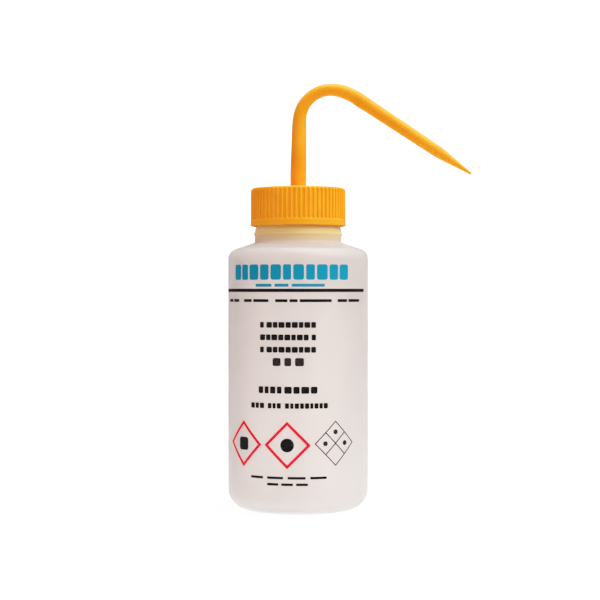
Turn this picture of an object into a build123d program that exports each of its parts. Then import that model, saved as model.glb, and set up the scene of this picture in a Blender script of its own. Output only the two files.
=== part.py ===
from build123d import *

import os
from math import cos, pi, radians, sin, tan

os.makedirs("parts", exist_ok=True)

# Venting wash bottle, 500 ml nominal. Millimetres, +Z up. The origin is the centre of the ring
# that the bottle stands on, and the spout bends over towards +X in the XZ plane.

# ------------------------------------------------------------------ driving dimensions
body_r = 38.0
body_wall = 1.0
foot_corner_r = 11.0
foot_ring_r = 23.5
punt_r = 20.0
punt_rise = 2.0
floor_t = 1.2
floor_shift = 0.6
shoulder_z = 139.2
shoulder_corner_r = 6.0
shoulder_slope = 18.0

neck_r = 23.5
neck_wall = 1.4
bead_r = 24.25
bead_z = 148.4
bead_half_h = 1.2
thread_root_r = 22.3
thread_root_step = 2.0
mouth_r = 20.7
lip_z = 168.7
lip_edge_r = 0.5

thread_pitch = 4.0
thread_height = 1.4
thread_foot_w = 2.0
thread_crest_w = 0.8
thread_sink = 0.3
thread_turns = 2
segments_per_turn = 4
segment_arc = 82.0
neck_thread_z = 157.5
thread_gap = 0.3
crest_gap = 0.4

cap_z = 152.7
cap_top_z = 173.35
cap_plate_t = 1.6
cap_root_r = 25.1
cap_rib_r = 0.62
cap_rib_count = 64
cap_band_r = 25.8
cap_band_top_z = 156.0
cap_band_slope_h = 0.6
cap_edge_r = 1.5
rib_sink = 1.5
rib_foot = 0.5
stem_hole_r = 4.7

gasket_t = 1.0
seat_gap = 0.05
disc_r = 22.0
disc_core_t = 2.8
plug_r = 20.6
plug_wall = 1.4
plug_depth = 5.0
plug_lead_in = 0.5
plug_lead_h = 1.5
boss_r = 6.2
boss_z = 160.0
collar_r = 5.6
collar_t = 1.0
collar_gap = 0.3
groove_w = 1.6
groove_depth = 0.6

valve_x = -12.5
valve_r = 4.5
valve_z = 161.7
valve_socket_wall = 1.2
valve_vent_r = 0.8
valve_seat_r = 1.2
chamber_r = 2.35
chamber_h = 5.4
seat_h = 6.8
ball_r = 2.0
retainer_r = 3.2
retainer_bore_r = 2.1
retainer_t = 1.5
spoke_w = 0.8
press = 0.02

stem_r = 4.375
spigot_r = 4.4
spigot_z = 156.5
snap_height = 0.5
running = 0.05
tube_r = 3.0
tube_bore_r = 2.0
tube_insert_z = 168.5
tube_foot_z = 4.6
tube_slant = 30.0
spout_wall = 1.6
tip_r = 0.65
orifice_r = 0.35

# Spout centreline above the cap: pieces of (length, radius), turning clockwise as seen from -Y.
lean_arc = (5.0, 260.0)
stem_run = (31.6, None)
main_bend = (29.8, 17.3)
easing_bend = (11.85, 28.7)
straight_run = (53.2, None)
nozzle_run = (21.3, None)
centreline = [lean_arc, stem_run, main_bend, easing_bend, straight_run, nozzle_run]
nozzle_start = sum(length for length, _ in centreline[:-1])
spout_length = nozzle_start + nozzle_run[0]

# Widths along the spout: (length from the cap, width in the XZ plane, width along Y), linear in
# between. The tube is flattened where it was bent.
spout_widths = [
    (0.0, 2 * stem_r, 2 * stem_r),
    (12.0, 8.65, 8.65),
    (24.0, 8.2, 8.2),
    (33.0, 7.9, 7.95),
    (39.0, 7.3, 7.95),
    (45.0, 6.8, 8.0),
    (53.0, 6.55, 8.0),
    (61.0, 6.6, 7.85),
    (68.0, 7.0, 7.7),
    (74.0, 7.4, 7.6),
    (81.0, 7.5, 7.5),
    (nozzle_start, 6.45, 6.45),
]
bend_end = 84.0
bend_sections = 14

# ------------------------------------------------------------------ derived dimensions
bottle_inner_r = body_r - body_wall
shoulder_drop = tan(radians(shoulder_slope))
neck_foot_z = shoulder_z + (body_r - neck_r) * shoulder_drop
neck_inner_r = neck_r - neck_wall
inner_shoulder_z = shoulder_z - body_wall
inner_neck_foot_z = inner_shoulder_z + (bottle_inner_r - neck_inner_r) * shoulder_drop
thread_middle_r = thread_root_r + thread_height / 2
lead_slope = thread_pitch / (2 * pi * thread_middle_r)
skirt_inner_r = thread_root_r + thread_height + thread_gap
cap_thread_z = neck_thread_z - thread_pitch / 2
cap_crest_r = thread_root_r + crest_gap
thread_step_z = cap_z - 1.5
rib_foot_z = cap_band_top_z - rib_foot
half_rib_pitch = 180.0 / cap_rib_count
cap_inner_top_z = cap_top_z - cap_plate_t
disc_bottom_z = lip_z + gasket_t
disc_top_z = cap_inner_top_z - seat_gap
disc_core_z = disc_top_z - disc_core_t
plug_foot_z = disc_bottom_z - plug_depth
collar_seat_z = disc_top_z - collar_t - seat_gap
chamber_top_z = valve_z + chamber_h
seat_top_z = valve_z + seat_h
retainer_top_z = valve_z + retainer_t
ball_z = retainer_top_z + ball_r + seat_gap


# ------------------------------------------------------------------ helpers
def points(corners):
    """The (radius, height) of each corner of an outline."""
    return [(r, z) for r, z, _ in corners]


def radii(corners):
    """The rounding of each corner of an outline."""
    return [rounding for _, _, rounding in corners]


def segment_axis(angle, height):
    """Axis of one thread segment, tilted by the thread's lead."""
    a = radians(angle)
    return Axis((0, 0, height), (lead_slope * sin(a), -lead_slope * cos(a), 1))


def segment_plane(angle, height):
    """Plane of a thread segment's first section: x outwards, y along the segment's axis."""
    axis = segment_axis(angle, height)
    middle = Vector(cos(radians(angle)), sin(radians(angle)), 0)
    start = middle.rotate(Axis((0, 0, 0), axis.direction), -segment_arc / 2)
    return Plane(origin=axis.position, x_dir=start, z_dir=start.cross(axis.direction))


def ridge(foot_r, crest_r):
    """Trapezoid of a thread ridge, from its foot to its crest."""
    foot, crest = thread_foot_w / 2, thread_crest_w / 2
    return [(foot_r, -foot), (crest_r, -crest), (crest_r, crest), (foot_r, foot)]


def thread_places(first_z):
    """Angle and height of the middle of each thread segment."""
    count = thread_turns * segments_per_turn
    return [
        (360 * i / segments_per_turn, first_z + thread_pitch * i / segments_per_turn)
        for i in range(count)
    ]


def spout_plane(distance):
    """Plane across the spout at a length along its centreline: x along Y, y out of the bend."""
    x, z, heading = 0.0, cap_top_z, pi / 2
    for length, radius in centreline:
        step = min(distance, length)
        if radius is None:
            x += step * cos(heading)
            z += step * sin(heading)
        else:
            ahead = heading - step / radius
            x += radius * (sin(heading) - sin(ahead))
            z += radius * (cos(ahead) - cos(heading))
            heading = ahead
        distance -= step
    return Plane(origin=(x, 0, z), x_dir=(0, 1, 0), z_dir=(cos(heading), 0, sin(heading)))


def spout_section(distance, wall=0.0):
    """The two radii of the spout, along Y and in the XZ plane, less a wall."""
    for (start, a0, b0), (end, a1, b1) in zip(spout_widths, spout_widths[1:]):
        if distance <= end:
            break
    share = (distance - start) / (end - start)
    in_plane = a0 + share * (a1 - a0)
    across = b0 + share * (b1 - b0)
    return across / 2 - wall, in_plane / 2 - wall


def finish(piece, name):
    """Label a finished piece and write it to its STEP file."""
    piece.part.label = name
    export_step(piece.part, f"parts/{name}.step")


# ------------------------------------------------------------------ bottle
bottle_outline = [
    (0, punt_rise, 0),
    (punt_r, punt_rise, 2.0),
    (foot_ring_r, 0, 0.8),
    (body_r, 0, foot_corner_r),
    (body_r, shoulder_z, shoulder_corner_r),
    (neck_r, neck_foot_z, 1.2),
    (neck_r, bead_z - bead_half_h, 0.4),
    (bead_r, bead_z, 0.3),
    (neck_r, bead_z + bead_half_h, 0.4),
    (neck_r - 0.2, thread_step_z, 0.4),
    (thread_root_r, thread_step_z + thread_root_step, 0.5),
    (thread_root_r, lip_z, lip_edge_r),
    (mouth_r, lip_z, lip_edge_r),
    (mouth_r, thread_step_z, 2.0),
    (neck_inner_r, bead_z, 2.0),
    (neck_inner_r, inner_neck_foot_z, 1.5),
    (bottle_inner_r, inner_shoulder_z, shoulder_corner_r - body_wall),
    (bottle_inner_r, floor_t, foot_corner_r - body_wall),
    (foot_ring_r + floor_shift, floor_t, 0.8),
    (punt_r + floor_shift, punt_rise + floor_t, 2.0),
    (0, punt_rise + floor_t, 0),
]

with BuildPart() as bottle:
    with BuildSketch(Plane.XZ):
        with BuildLine():
            FilletPolyline(points(bottle_outline), radius=radii(bottle_outline), close=True)
        make_face()
    revolve(axis=Axis.Z)
    for angle, height in thread_places(neck_thread_z):
        with BuildSketch(segment_plane(angle, height)):
            with BuildLine():
                Polyline(ridge(thread_root_r - thread_sink, thread_root_r + thread_height), close=True)
            make_face()
        revolve(axis=segment_axis(angle, height), revolution_arc=segment_arc)
finish(bottle, "bottle")

# ------------------------------------------------------------------ screw cap
cap_outline = [
    (stem_hole_r, cap_inner_top_z, 0),
    (skirt_inner_r, cap_inner_top_z, 1.0),
    (skirt_inner_r, cap_z, 0.4),
    (cap_band_r, cap_z, 0.4),
    (cap_band_r, cap_band_top_z, 0.3),
    (cap_root_r, cap_band_top_z + cap_band_slope_h, 0.3),
    (cap_root_r, cap_top_z, cap_edge_r - 0.3),
    (stem_hole_r, cap_top_z, 0.25),
]
rib_envelope = [
    (cap_root_r - rib_sink, rib_foot_z, 0),
    (cap_root_r + cap_rib_r, rib_foot_z, 0),
    (cap_root_r + cap_rib_r, cap_top_z, cap_edge_r + 0.3),
    (cap_root_r - rib_sink, cap_top_z, 0),
]

with BuildPart() as cap_rib:
    with BuildSketch(Plane.XY.offset(rib_foot_z)):
        with PolarLocations(cap_root_r, 1, start_angle=half_rib_pitch):
            Circle(cap_rib_r)
    extrude(amount=cap_top_z - rib_foot_z)
    with BuildSketch(Plane.XZ):
        with BuildLine():
            FilletPolyline(points(rib_envelope), radius=radii(rib_envelope), close=True)
        make_face()
    revolve(axis=Axis.Z, mode=Mode.INTERSECT)

with BuildPart() as screw_cap:
    with BuildSketch(Plane.XZ):
        with BuildLine():
            FilletPolyline(points(cap_outline), radius=radii(cap_outline), close=True)
        make_face()
    revolve(axis=Axis.Z)
    with PolarLocations(0, cap_rib_count):
        add(cap_rib.part)
    for angle, height in thread_places(cap_thread_z):
        with BuildSketch(segment_plane(angle, height)):
            with BuildLine():
                Polyline(ridge(skirt_inner_r + thread_sink, cap_crest_r), close=True)
            make_face()
        revolve(axis=segment_axis(angle, height), revolution_arc=segment_arc)
finish(screw_cap, "screw_cap")

# ------------------------------------------------------------------ lip gasket
with BuildPart() as lip_gasket:
    with BuildSketch(Plane.XY.offset(lip_z)):
        Circle(disc_r)
        Circle(plug_r + seat_gap, mode=Mode.SUBTRACT)
    extrude(amount=gasket_t)
finish(lip_gasket, "lip_gasket")

# ------------------------------------------------------------------ sealing disc
disc_outline = [
    (spigot_r + running, boss_z, 0.2),
    (boss_r, boss_z, 0.3),
    (boss_r, disc_core_z, 0.5),
    (plug_r - plug_wall, disc_core_z, 0.5),
    (plug_r - plug_wall, plug_foot_z, 0.3),
    (plug_r - plug_lead_in, plug_foot_z, 0.3),
    (plug_r, plug_foot_z + plug_lead_h, 0.5),
    (plug_r, disc_bottom_z, 0),
    (disc_r, disc_bottom_z, 0),
    (disc_r, disc_top_z, 0.3),
    (collar_r + collar_gap, disc_top_z, 0),
    (collar_r + collar_gap, collar_seat_z, 0),
    (spigot_r + running, collar_seat_z, 0.15),
]

with BuildPart() as sealing_disc:
    with BuildSketch(Plane.XZ):
        with BuildLine():
            FilletPolyline(points(disc_outline), radius=radii(disc_outline), close=True)
        make_face()
    revolve(axis=Axis.Z)
    # socket that the vent valve is pressed into, hanging under the disc
    with BuildSketch(Plane.XY.offset(plug_foot_z)):
        with Locations((valve_x, 0)):
            Circle(valve_r + valve_socket_wall)
    extrude(amount=plug_depth)
    with BuildSketch(Plane.XY.offset(plug_foot_z)):
        with Locations((valve_x, 0)):
            Circle(valve_r)
    extrude(amount=plug_depth, mode=Mode.SUBTRACT)
    # vent hole and the groove that leads it to the clearance round the spout
    with BuildSketch(Plane.XY.offset(disc_top_z)):
        with Locations((valve_x, 0)):
            Circle(valve_vent_r)
    extrude(amount=disc_bottom_z - disc_top_z, mode=Mode.SUBTRACT)
    with BuildSketch(Plane.XY.offset(disc_top_z)):
        with Locations(((valve_x - collar_r) / 2, 0)):
            Rectangle(-valve_x - collar_r, groove_w)
    extrude(amount=-groove_depth, mode=Mode.SUBTRACT)
finish(sealing_disc, "sealing_disc")

# ------------------------------------------------------------------ vent valve
valve_outline = [
    (valve_vent_r, disc_bottom_z, 0),
    (valve_r + press, disc_bottom_z, 0.2),
    (valve_r + press, valve_z, 0.4),
    (retainer_r, valve_z, 0.15),
    (retainer_r, retainer_top_z, 0),
    (chamber_r, retainer_top_z, 0),
    (chamber_r, chamber_top_z, 0),
    (valve_seat_r, seat_top_z, 0),
    (valve_vent_r, seat_top_z, 0),
]
valve_plane = Plane(origin=(valve_x, 0, 0), x_dir=(1, 0, 0), z_dir=(0, -1, 0))
valve_axis = Axis((valve_x, 0, 0), (0, 0, 1))

with BuildPart() as valve_body:
    with BuildSketch(valve_plane):
        with BuildLine():
            FilletPolyline(points(valve_outline), radius=radii(valve_outline), close=True)
        make_face()
    revolve(axis=valve_axis)
finish(valve_body, "valve_body")

with BuildPart() as valve_ball:
    with Locations((valve_x, 0, ball_z)):
        Sphere(ball_r)
finish(valve_ball, "valve_ball")

with BuildPart() as ball_retainer:
    with BuildSketch(Plane.XY.offset(valve_z)):
        with Locations((valve_x, 0)):
            Circle(retainer_r + press)
            Circle(retainer_bore_r, mode=Mode.SUBTRACT)
            Rectangle(2 * retainer_r, spoke_w)
            Rectangle(spoke_w, 2 * retainer_r)
    extrude(amount=retainer_t)
finish(ball_retainer, "ball_retainer")

# ------------------------------------------------------------------ spout
spigot_outline = [
    (0, spigot_z, 0),
    (spigot_r, spigot_z, 0.3),
    (spigot_r, boss_z - 1.8, 0),
    (spigot_r + snap_height, boss_z - 1.0, 0.2),
    (spigot_r + snap_height, boss_z - 0.5, 0.2),
    (spigot_r, boss_z - 0.3, 0),
    (spigot_r, collar_seat_z + seat_gap, 0),
    (collar_r, collar_seat_z + seat_gap, 0.2),
    (collar_r, collar_seat_z + collar_t, 0.2),
    (stem_r, collar_seat_z + collar_t, 0),
    (stem_r, cap_top_z, 0),
    (0, cap_top_z, 0),
]
stem_bore_r = stem_r - spout_wall
nozzle_r = spout_section(nozzle_start)[0]
bend_stations = [bend_end * i / bend_sections for i in range(bend_sections + 1)]

with BuildPart() as spout:
    with BuildSketch(Plane.XZ):
        with BuildLine():
            FilletPolyline(points(spigot_outline), radius=radii(spigot_outline), close=True)
        make_face()
    revolve(axis=Axis.Z)
    for distance in bend_stations:
        with BuildSketch(spout_plane(distance)):
            Ellipse(*spout_section(distance))
    loft()
    with BuildSketch(spout_plane(bend_end)):
        Circle(spout_section(bend_end)[0])
    with BuildSketch(spout_plane(nozzle_start)):
        Circle(nozzle_r)
    loft(ruled=True)
    with BuildSketch(spout_plane(nozzle_start)):
        Circle(nozzle_r)
    with BuildSketch(spout_plane(spout_length)):
        Circle(tip_r)
    loft(ruled=True)
    # bore: socket for the dip tube, tapering passage, nozzle orifice
    with BuildSketch(Plane.XY.offset(spigot_z)):
        Circle(tube_r)
    extrude(amount=tube_insert_z - spigot_z, mode=Mode.SUBTRACT)
    with BuildSketch(Plane.XY.offset(tube_insert_z)):
        Circle(stem_bore_r)
    extrude(amount=cap_top_z - tube_insert_z, mode=Mode.SUBTRACT)
    for distance in bend_stations:
        with BuildSketch(spout_plane(distance)):
            Ellipse(*spout_section(distance, spout_wall))
    loft(mode=Mode.SUBTRACT)
    with BuildSketch(spout_plane(bend_end)):
        Circle(spout_section(bend_end, spout_wall)[0])
    with BuildSketch(spout_plane(nozzle_start)):
        Circle(nozzle_r - spout_wall)
    loft(ruled=True, mode=Mode.SUBTRACT)
    with BuildSketch(spout_plane(nozzle_start)):
        Circle(nozzle_r - spout_wall)
    with BuildSketch(spout_plane(spout_length)):
        Circle(orifice_r)
    loft(ruled=True, mode=Mode.SUBTRACT)
finish(spout, "spout")

# ------------------------------------------------------------------ dip tube
slant_normal = (sin(radians(tube_slant)), 0, -cos(radians(tube_slant)))
slant_plane = Plane(origin=(-tube_r, 0, tube_foot_z), x_dir=(0, 1, 0), z_dir=slant_normal)
tube_run = tube_insert_z - tube_foot_z + tube_r

with BuildPart() as dip_tube:
    with BuildSketch(Plane.XY.offset(tube_insert_z)):
        Circle(tube_r + press)
        Circle(tube_bore_r, mode=Mode.SUBTRACT)
    extrude(amount=-tube_run)
    split(bisect_by=slant_plane, keep=Keep.BOTTOM)
finish(dip_tube, "dip_tube")
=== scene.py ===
import math

import bmesh
import bpy
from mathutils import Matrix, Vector


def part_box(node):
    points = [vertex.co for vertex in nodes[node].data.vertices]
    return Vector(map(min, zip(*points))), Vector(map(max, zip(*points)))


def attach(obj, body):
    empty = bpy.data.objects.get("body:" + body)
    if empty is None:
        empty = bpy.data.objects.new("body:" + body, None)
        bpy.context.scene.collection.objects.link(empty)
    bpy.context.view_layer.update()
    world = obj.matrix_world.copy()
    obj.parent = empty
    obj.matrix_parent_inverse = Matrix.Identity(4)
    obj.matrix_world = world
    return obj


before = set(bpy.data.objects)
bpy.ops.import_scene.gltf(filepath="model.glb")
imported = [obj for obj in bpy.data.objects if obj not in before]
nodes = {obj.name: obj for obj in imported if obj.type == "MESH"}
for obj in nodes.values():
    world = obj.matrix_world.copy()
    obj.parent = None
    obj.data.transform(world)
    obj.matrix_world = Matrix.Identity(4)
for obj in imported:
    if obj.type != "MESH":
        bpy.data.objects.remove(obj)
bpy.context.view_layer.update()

MM = 0.001
NECK_SHOWN = 9.2 * MM
wall_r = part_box("bottle")[1].x
cap_foot_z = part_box("screw_cap")[0].z
neck_foot_z = cap_foot_z - NECK_SHOWN


# ---------------------------------------------------------------- materials
BODY_CLEARNESS = 0.8
NECK_CLEARNESS = 0.15
NECK_ZONE_DROP = 3 * MM
FOOT_FADE_TOP = 14 * MM
FOOT_FADE_LOW = 1 * MM

# Sockets of a Mix node that mixes colours.
MIX_FACTOR, MIX_A, MIX_B = 0, 6, 7
MIX_COLOUR = 2


class Shader:
    """A material with one Principled node, and short ways to make the nodes that feed it."""

    def __init__(self, name, **sockets):
        self.material = bpy.data.materials.new(name)
        self.material.use_nodes = True
        self.tree = self.material.node_tree
        self.tree.nodes.clear()
        out = self.tree.nodes.new("ShaderNodeOutputMaterial")
        self.bsdf = self.tree.nodes.new("ShaderNodeBsdfPrincipled")
        self.join(self.bsdf.outputs[0], out.inputs["Surface"])
        for socket, value in sockets.items():
            self.bsdf.inputs[socket.replace("_", " ")].default_value = value
        self.place = self.tree.nodes.new("ShaderNodeTexCoord").outputs["Object"]

    def join(self, source, target):
        self.tree.links.new(source, target)

    def feed(self, target, value):
        """Links a socket, or sets it to a plain value."""
        if isinstance(value, bpy.types.NodeSocket):
            self.join(value, target)
        else:
            target.default_value = value

    def noise(self, scale, detail=2.0, stretch=(1, 1, 1)):
        """Noise from 0 to 1 about the object's own place, scale in features per metre."""
        mapping = self.tree.nodes.new("ShaderNodeMapping")
        self.join(self.place, mapping.inputs["Vector"])
        mapping.inputs["Scale"].default_value = stretch
        texture = self.tree.nodes.new("ShaderNodeTexNoise")
        self.join(mapping.outputs[0], texture.inputs["Vector"])
        texture.inputs["Scale"].default_value = scale
        texture.inputs["Detail"].default_value = detail
        return texture.outputs["Fac"]

    def along(self, axis):
        """The place's own X, Y or Z, in metres."""
        split = self.tree.nodes.new("ShaderNodeSeparateXYZ")
        self.join(self.place, split.inputs[0])
        return split.outputs[axis]

    def spread(self, value, low, high, to_low=0.0, to_high=1.0, smooth=False):
        """A value's range low..high mapped to another range and held at its ends."""
        node = self.tree.nodes.new("ShaderNodeMapRange")
        node.interpolation_type = "SMOOTHSTEP" if smooth else "LINEAR"
        self.feed(node.inputs["Value"], value)
        node.inputs["From Min"].default_value = low
        node.inputs["From Max"].default_value = high
        node.inputs["To Min"].default_value = to_low
        node.inputs["To Max"].default_value = to_high
        return node.outputs["Result"]

    def maths(self, operation, *values):
        node = self.tree.nodes.new("ShaderNodeMath")
        node.operation = operation
        for socket, value in zip(node.inputs, values):
            self.feed(socket, value)
        return node.outputs[0]

    def mix(self, factor, a, b):
        """A colour between a and b."""
        node = self.tree.nodes.new("ShaderNodeMix")
        node.data_type = "RGBA"
        self.feed(node.inputs[MIX_FACTOR], factor)
        self.feed(node.inputs[MIX_A], a)
        self.feed(node.inputs[MIX_B], b)
        return node.outputs[MIX_COLOUR]

    def seam(self, half_width):
        """1 along the mould's parting plane, Y = 0, falling to 0 beside it."""
        distance = self.maths("ABSOLUTE", self.along("Y"))
        return self.spread(distance, 0, half_width, 1, 0, smooth=True)

    def colour(self, value):
        self.feed(self.bsdf.inputs["Base Color"], value)

    def roughness(self, value):
        self.feed(self.bsdf.inputs["Roughness"], value)

    def bump(self, height, distance, strength):
        node = self.tree.nodes.new("ShaderNodeBump")
        self.join(height, node.inputs["Height"])
        node.inputs["Distance"].default_value = distance
        node.inputs["Strength"].default_value = strength
        self.join(node.outputs[0], self.bsdf.inputs["Normal"])


def rgb(red, green, blue):
    """A colour given in 0..255 as seen on a screen, as the linear colour that shaders take."""
    linear = []
    for value in (red, green, blue):
        v = value / 255
        linear.append(v / 12.92 if v <= 0.04045 else ((v + 0.055) / 1.055) ** 2.4)
    return (*linear, 1.0)


def milky_plastic():
    """Blow-moulded natural polyethylene: cloudy, faintly uneven, whiter towards the foot, partly
    where the plastic is thick and partly as painted light from the floor below, and with a
    painted orange glow at the neck that stands in for the cap's colour shining through the wall."""
    s = Shader(
        "milky_plastic",
        Subsurface_Weight=1.0,
        Subsurface_Radius=(1.0, 0.95, 0.9),
        Subsurface_Scale=5 * MM,
        IOR=1.5,
        Specular_IOR_Level=0.3,
        Sheen_Weight=0.25,
        Sheen_Roughness=0.5,
    )
    cloud = s.noise(28, detail=3, stretch=(1, 1, 0.45))
    white = s.mix(s.spread(cloud, 0.35, 0.65), rgb(228, 220, 217), rgb(234, 226, 223))
    # Partly painted light: the wall turns whiter towards the foot, partly because the plastic is
    # thicker there and partly as light from the floor below painted into the colour.
    foot = s.spread(s.along("Z"), FOOT_FADE_TOP, FOOT_FADE_LOW, smooth=True)
    white = s.mix(foot, white, rgb(241, 235, 232))
    # Painted light: the neck zone under the cap gets a painted orange glow in its colour,
    # standing in for the cap's colour shining through; the same zone also lowers the wall's
    # clearness.
    neck_zone_low, neck_zone_high = neck_foot_z - NECK_ZONE_DROP, cap_foot_z - NECK_ZONE_DROP
    neck = s.spread(s.along("Z"), neck_zone_low, neck_zone_high, smooth=True)
    s.colour(s.mix(neck, white, rgb(255, 211, 145)))
    s.roughness(s.spread(s.noise(90, detail=4), 0.3, 0.7, 0.46, 0.58))
    clear = s.spread(neck, 0, 1, BODY_CLEARNESS, NECK_CLEARNESS)
    s.feed(s.bsdf.inputs["Transmission Weight"], clear)
    grain = s.maths("ADD", s.noise(420), s.maths("MULTIPLY", cloud, 3.0))
    grain = s.maths("ADD", grain, s.maths("MULTIPLY", s.seam(0.3 * MM), 2.0))
    s.bump(grain, 0.05 * MM, 0.35)
    return s.material


def closure_plastic(name, seam_height=0.0):
    """Pigmented yellow-orange polyethylene, satin from the mould. A seam_height above 0 adds the
    parting line."""
    s = Shader(
        name,
        Subsurface_Weight=0.1,
        Subsurface_Radius=(1.0, 0.35, 0.03),
        Subsurface_Scale=1 * MM,
        IOR=1.5,
        Specular_IOR_Level=0.15,
    )
    cloud = s.noise(60, detail=3)
    s.colour(s.mix(s.spread(cloud, 0.35, 0.65), rgb(239, 145, 13), rgb(249, 156, 22)))
    s.roughness(s.spread(s.noise(160, detail=4), 0.3, 0.7, 0.42, 0.54))
    grain = s.maths("ADD", s.noise(700, detail=3), s.maths("MULTIPLY", s.noise(3600), 0.8))
    if seam_height:
        grain = s.maths("ADD", grain, s.maths("MULTIPLY", s.seam(0.2 * MM), seam_height))
    s.bump(grain, 0.03 * MM, 0.5)
    return s.material


def natural_plastic(name, colour):
    """Uncoloured moulded insert plastic."""
    s = Shader(name, Subsurface_Weight=0.3, Subsurface_Scale=2 * MM, IOR=1.5)
    cloud = s.noise(120, detail=3)
    s.colour(s.mix(s.spread(cloud, 0.3, 0.7), colour, rgb(240, 240, 236)))
    s.roughness(s.spread(s.noise(300, detail=3), 0.3, 0.7, 0.35, 0.5))
    s.bump(s.noise(900), 0.02 * MM, 0.4)
    return s.material


def foam():
    """Closed-cell gasket foam, finely pitted."""
    s = Shader("gasket_foam", IOR=1.45)
    cells = s.noise(2200)
    s.colour(s.mix(s.spread(cells, 0.35, 0.65), rgb(215, 212, 204), rgb(240, 238, 232)))
    s.roughness(s.spread(cells, 0.3, 0.7, 0.75, 0.95))
    s.bump(cells, 0.1 * MM, 0.6)
    return s.material


def ball_steel():
    """Ground stainless ball."""
    s = Shader("ball_steel", Metallic=1.0)
    marks = s.noise(1500, detail=3)
    s.colour(s.mix(s.spread(marks, 0.3, 0.7), rgb(190, 190, 192), rgb(214, 214, 216)))
    s.roughness(s.spread(marks, 0.3, 0.7, 0.12, 0.22))
    return s.material


def ink(name, colour):
    """Screen-printed ink: a thin, nearly matt film that lets a little of the wall through."""
    s = Shader(name, IOR=1.45, Specular_IOR_Level=0.06)
    speck = s.noise(1600, detail=3)
    thin = s.mix(0.05, colour, rgb(220, 216, 214))
    s.colour(s.mix(s.spread(speck, 0.5, 0.8), colour, thin))
    s.roughness(s.spread(speck, 0.3, 0.7, 0.5, 0.65))
    s.bump(speck, 0.01 * MM, 0.4)
    return s.material


def dress(node, material):
    """Gives a CAD node its finished material."""
    for slot in nodes[node].material_slots:
        slot.material = material


insert = natural_plastic("insert_plastic", rgb(228, 228, 222))
dress("bottle", milky_plastic())
dress("screw_cap", closure_plastic("cap_plastic"))
dress("spout", closure_plastic("spout_plastic", seam_height=4.0))
dress("dip_tube", natural_plastic("tube_plastic", rgb(222, 222, 216)))
dress("sealing_disc", insert)
dress("valve_body", insert)
dress("ball_retainer", insert)
dress("lip_gasket", foam())
dress("valve_ball", ball_steel())

# ---------------------------------------------------------------- print on the wall
# Places on the print are in millimetres: u along the wall from the print's middle, z above the
# bench. Words are rows of plain blocks. The print's middle lies at PRINT_AXIS along the wall from
# the bottle's front.
PRINT_AXIS = -5.8
FILM_FOOT = -0.01
FILM_TOP = 0.04
ARC_STEP = 1.0
BLOCK_ROUNDING = 0.2
CORNER_STEPS = 3
DISC_STEPS = 32
LETTER_SHARES = (1.0, 0.82, 1.06, 0.9, 1.02, 0.76)

RED_Z = 37.5
RED_LINE = 1.45
RED_LEFT_U = -26.6
RED_LEFT_HALF = 12.2
RED_MIDDLE_HALF = 12.4
SQUARE_MARK_HALF = 3.4
ROUND_MARK_R = 3.6
GREY_U = 26.3
GREY_Z = 38.2
GREY_HALF = 11.9
GREY_LINE = 0.55
GREY_DOT_R = 1.3

ink_black = ink("ink_black", rgb(3, 3, 4))
ink_teal = ink("ink_teal", rgb(0, 127, 158))
ink_red = ink("ink_red", rgb(212, 0, 30))
ink_grey = ink("ink_grey", rgb(30, 27, 28))


def on_wall(u, z, lift):
    """The point on the bottle's front at u and z, lifted off the wall."""
    angle = (u + PRINT_AXIS) * MM / wall_r
    r = wall_r + lift * MM
    return Vector((r * math.sin(angle), -r * math.cos(angle), z * MM))


def printed(name, outlines, material):
    """One thin closed film of ink from flat closed outlines (u, z), laid round the wall."""
    mesh = bmesh.new()
    for outline in outlines:
        mesh.faces.new([mesh.verts.new((u, 0, z)) for u, z in outline])
    low = min(v.co.x for v in mesh.verts)
    high = max(v.co.x for v in mesh.verts)
    steps = max(1, int((high - low) / ARC_STEP))
    for i in range(1, steps):
        cut = (low + (high - low) * i / steps, 0, 0)
        everything = list(mesh.verts) + list(mesh.edges) + list(mesh.faces)
        bmesh.ops.bisect_plane(mesh, geom=everything, plane_co=cut, plane_no=(1, 0, 0))
    film = bmesh.ops.extrude_face_region(mesh, geom=list(mesh.faces), use_keep_orig=True)
    top = {v for v in film["geom"] if isinstance(v, bmesh.types.BMVert)}
    for v in mesh.verts:
        v.co = on_wall(v.co.x, v.co.z, FILM_TOP if v in top else FILM_FOOT)
    bmesh.ops.recalc_face_normals(mesh, faces=list(mesh.faces))
    data = bpy.data.meshes.new(name)
    mesh.to_mesh(data)
    mesh.free()
    data.materials.append(material)
    piece = bpy.data.objects.new(name, data)
    bpy.context.scene.collection.objects.link(piece)
    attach(piece, "bottle")


def block(left, right, bottom, top):
    """Outline of a block with rounded corners."""
    rounding = min(right - left, top - bottom) * BLOCK_ROUNDING
    outline = []
    for u, z, start in (
        (right - rounding, bottom + rounding, -90),
        (right - rounding, top - rounding, 0),
        (left + rounding, top - rounding, 90),
        (left + rounding, bottom + rounding, 180),
    ):
        for i in range(CORNER_STEPS + 1):
            a = math.radians(start + 90 * i / CORNER_STEPS)
            outline.append((u + rounding * math.cos(a), z + rounding * math.sin(a)))
    return outline


def disc(u, z, radius):
    """Outline of a round dot."""
    turns = [math.tau * i / DISC_STEPS for i in range(DISC_STEPS)]
    return [(u + radius * math.cos(a), z + radius * math.sin(a)) for a in turns]


def word(left, z, height, width, letters, gap):
    """Blocks of uneven width that fill a word's length."""
    shares = [LETTER_SHARES[i % len(LETTER_SHARES)] for i in range(letters)]
    unit = (width - gap * (letters - 1)) / sum(shares)
    blocks = []
    for share in shares:
        blocks.append(block(left, left + share * unit, z - height / 2, z + height / 2))
        left += share * unit + gap
    return blocks


def row(middle, z, height, words, space, gap=0.0):
    """One line of words, each (width, letters), centred on u = middle."""
    left = middle - (sum(width for width, _ in words) + space * (len(words) - 1)) / 2
    blocks = []
    for width, letters in words:
        blocks += word(left, z, height, width, letters, gap)
        left += width + space
    return blocks


def bars(middle, z, height, widths, space):
    """One line of words too small to show their letters."""
    return row(middle, z, height, [(width, 1) for width in widths], space)


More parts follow.
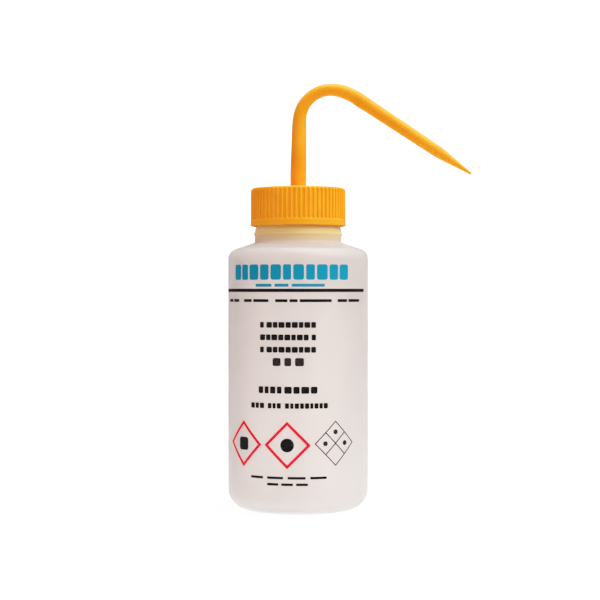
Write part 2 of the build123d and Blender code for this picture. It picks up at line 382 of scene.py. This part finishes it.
def stroke(start, end, line):
    """A straight line from start to end."""
    (u0, z0), (u1, z1) = start, end
    length = math.hypot(u1 - u0, z1 - z0)
    du, dz = line / 2 * (z0 - z1) / length, line / 2 * (u1 - u0) / length
    return [(u0 - du, z0 - dz), (u1 - du, z1 - dz), (u1 + du, z1 + dz), (u0 + du, z0 + dz)]


def diamond(u, z, half, line):
    """The four strokes of a square that stands on its corner."""
    inner = half - line * math.sqrt(2)
    outside = [(u, z + half), (u + half, z), (u, z - half), (u - half, z)]
    inside = [(u, z + inner), (u + inner, z), (u, z - inner), (u - inner, z)]
    return [
        [outside[i], outside[(i + 1) % 4], inside[(i + 1) % 4], inside[i]]
        for i in range(4)
    ]


def print_heading():
    """Title, sub-title, fill line and its notes."""
    title = row(middle=0, z=127.6, height=8.0, words=[(69.2, 11)], space=0, gap=1.15)
    printed("print_title", title, ink_teal)
    subtitle = bars(middle=1.0, z=120.7, height=1.5, widths=[9.5, 7.5, 17.5], space=1.7)
    printed("print_subtitle", subtitle, ink_teal)
    fill_rule = block(left=-50, right=50, bottom=117.2, top=118.9)
    printed("print_fill_rule", [fill_rule], ink_black)
    notes = (
        (-36.8, [5.6, 5.4]),
        (-18.3, [5.8, 9.4]),
        (8.8, [6.6, 4.2, 17.4]),
        (36.0, [6.4, 9.4]),
    )
    note_bars = []
    for middle, widths in notes:
        note_bars += bars(middle, z=112.7, height=1.5, widths=widths, space=1.1)
    printed("print_fill_notes", note_bars, ink_black)


def print_middle():
    """Three bold rows, a row of marks, a long row and a row of numbers."""
    short, long = (2.3, 1), (26.4, 8)
    bold_rows = ((100.1, [short, long]), (93.6, [long, short]), (87.2, [short, long]))
    for i, (z, words) in enumerate(bold_rows):
        bold = row(middle=0, z=z, height=3.0, words=words, space=1.6, gap=0.5)
        printed(f"print_bold_row_{i + 1}", bold, ink_black)
    marks = row(middle=0.5, z=80.8, height=4.2, words=[(16.6, 3)], space=0, gap=2.0)
    printed("print_mark_row", marks, ink_grey)
    long_row = row(middle=0, z=66.2, height=3.6, words=[(13.0, 4), (17.4, 4)], space=1.5, gap=0.9)
    printed("print_long_row", long_row, ink_black)
    numbers = [(8.2, 3), (7.2, 3), (22.8, 9)]
    number_row = row(middle=0.4, z=58.0, height=2.8, words=numbers, space=2.2, gap=0.6)
    printed("print_number_row", number_row, ink_black)


def print_diamonds():
    """Two red diamonds with plain marks, and a quartered grey one with dots."""
    left_diamond = diamond(RED_LEFT_U, RED_Z, RED_LEFT_HALF, RED_LINE)
    printed("print_left_diamond", left_diamond, ink_red)
    printed("print_middle_diamond", diamond(0, RED_Z, RED_MIDDLE_HALF, RED_LINE), ink_red)
    left_mark = block(
        left=RED_LEFT_U - SQUARE_MARK_HALF,
        right=RED_LEFT_U + SQUARE_MARK_HALF,
        bottom=RED_Z - SQUARE_MARK_HALF,
        top=RED_Z + SQUARE_MARK_HALF,
    )
    printed("print_left_mark", [left_mark], ink_black)
    printed("print_middle_mark", [disc(0, RED_Z, ROUND_MARK_R)], ink_black)
    u, z, quarter = GREY_U, GREY_Z, GREY_HALF / 2
    crossing = [
        stroke((u - quarter, z + quarter), (u + quarter, z - quarter), GREY_LINE),
        stroke((u - quarter, z - quarter), (u + quarter, z + quarter), GREY_LINE),
    ]
    right_diamond = diamond(u, z, GREY_HALF, GREY_LINE) + crossing
    printed("print_right_diamond", right_diamond, ink_grey)
    dot_places = ((u, z + quarter), (u - quarter, z), (u + quarter, z))
    dots = [disc(dot_u, dot_z, GREY_DOT_R) for dot_u, dot_z in dot_places]
    printed("print_right_dots", dots, ink_grey)


def print_foot():
    """Two rows of fine print."""
    upper = bars(middle=0, z=20.5, height=1.3, widths=[7.8, 8.8, 9.4, 9.0], space=2.4)
    printed("print_foot_row_1", upper, ink_black)
    lower = bars(middle=0, z=17.1, height=1.3, widths=[6.2, 6.2, 6.2], space=1.6)
    printed("print_foot_row_2", lower, ink_black)


print_heading()
print_middle()
print_diamonds()
print_foot()


# ---------------------------------------------------------------- stage, lights, camera
FLOOR_R = 0.25
FLOOR_STEPS = 96
FLOOR_GLOW = 1.4
TABLE_WATTS = 1.15
TABLE_LIFT = 0.3 * MM
AMBIENT = (0.46, 0.41, 0.40, 1)
BACKDROP = (1.9, 1.9, 1.9, 1)

LENS = 92.8
SENSOR = 36.0
CAMERA_PLACE = Vector((0, -0.84, 0.1182))
CAMERA_AIM = Vector((0.001, 0, 0.1128))

# How bright a linear light level comes out: straight in the shades, rolling off to white.
FILM_RESPONSE = ((0.4, 0.4), (0.65, 0.615), (0.95, 0.80), (1.4, 0.95), (1.8, 1.0))
COMBINED_CURVE = 3


def light_table():
    """Round white plate under the bottle that looks lit from below. Its light comes from
    table_light, because the light of a glowing mesh is grainy."""
    data = bpy.data.meshes.new("studio_floor")
    turns = [math.tau * i / FLOOR_STEPS for i in range(FLOOR_STEPS)]
    rim = [(FLOOR_R * math.cos(a), FLOOR_R * math.sin(a), 0) for a in turns]
    data.from_pydata(rim, [], [list(range(FLOOR_STEPS))])
    floor = bpy.data.objects.new("studio_floor", data)
    bpy.context.scene.collection.objects.link(floor)
    s = Shader(
        "studio_plate",
        Roughness=0.9,
        Specular_IOR_Level=0.0,
        Emission_Color=(1, 1, 1, 1),
        Emission_Strength=FLOOR_GLOW,
    )
    s.colour(s.mix(s.noise(300, detail=3), rgb(140, 140, 140), rgb(144, 144, 144)))
    s.material.cycles.emission_sampling = "NONE"
    data.materials.append(s.material)
    floor.visible_diffuse = False


def place_lamp(lamp, location, rotation):
    lamp_object = bpy.data.objects.new(lamp.name, lamp)
    lamp_object.location = location
    lamp_object.rotation_euler = rotation
    bpy.context.scene.collection.objects.link(lamp_object)
    return lamp_object


def table_light():
    """Disc light that lies on the plate and shines up."""
    lamp = bpy.data.lights.new("table_light", "AREA")
    lamp.shape = "DISK"
    lamp.size = 2 * FLOOR_R
    lamp.energy = TABLE_WATTS
    lamp_object = place_lamp(lamp, (0, 0, TABLE_LIFT), (math.pi, 0, 0))
    lamp_object.visible_camera = False
    lamp_object.visible_glossy = False
    lamp_object.visible_transmission = False


def soft_sun(name, origin, strength, spread, colour=(1, 1, 1)):
    """A distant studio light that shines from the direction of origin towards the object, as
    wide as spread in degrees."""
    lamp = bpy.data.lights.new(name, "SUN")
    lamp.energy = strength
    lamp.angle = math.radians(spread)
    lamp.color = colour
    place_lamp(lamp, origin, (-Vector(origin)).to_track_quat("-Z", "Y").to_euler())


def studio_world():
    """Dim room light, with a white backdrop all round where it is looked at."""
    world = bpy.data.worlds.new("studio_world")
    world.use_nodes = True
    tree = world.node_tree
    background = tree.nodes["Background"]
    path = tree.nodes.new("ShaderNodeLightPath")
    seen = tree.nodes.new("ShaderNodeMath")
    seen.operation = "MAXIMUM"
    tree.links.new(path.outputs["Is Camera Ray"], seen.inputs[0])
    tree.links.new(path.outputs["Is Transmission Ray"], seen.inputs[1])
    shade = tree.nodes.new("ShaderNodeMix")
    shade.data_type = "RGBA"
    tree.links.new(seen.outputs[0], shade.inputs[MIX_FACTOR])
    shade.inputs[MIX_A].default_value = AMBIENT
    shade.inputs[MIX_B].default_value = BACKDROP
    tree.links.new(shade.outputs[MIX_COLOUR], background.inputs["Color"])
    bpy.context.scene.world = world


def film_response():
    """Standard colours with highlights that roll off as on film."""
    view = bpy.context.scene.view_settings
    view.view_transform = "Standard"
    view.use_curve_mapping = True
    mapping = view.curve_mapping
    white = FILM_RESPONSE[-1][0]
    mapping.white_level = (white, white, white)
    points = mapping.curves[COMBINED_CURVE].points
    points[-1].location = (1, 1)
    for level, shown in FILM_RESPONSE[:-1]:
        points.new(level / white, shown)
    mapping.update()


def photo_camera():
    """The camera in front of the bottle, at the height of its shoulder."""
    data = bpy.data.cameras.new("camera")
    data.lens = LENS
    data.sensor_width = SENSOR
    camera = bpy.data.objects.new("camera", data)
    camera.location = CAMERA_PLACE
    camera.rotation_euler = (CAMERA_AIM - CAMERA_PLACE).to_track_quat("-Z", "Y").to_euler()
    bpy.context.scene.collection.objects.link(camera)
    bpy.context.scene.camera = camera


light_table()
table_light()
soft_sun("key_right", (1.0, -0.7, 0.9), strength=2.65, spread=35, colour=(1.0, 1.0, 0.96))
soft_sun("fill_left", (-1.0, -0.6, 0.3), strength=0.6, spread=60, colour=(1.0, 0.72, 0.70))
soft_sun("top", (0.2, 0.1, 1.0), strength=5.0, spread=50)
studio_world()
film_response()
photo_camera()
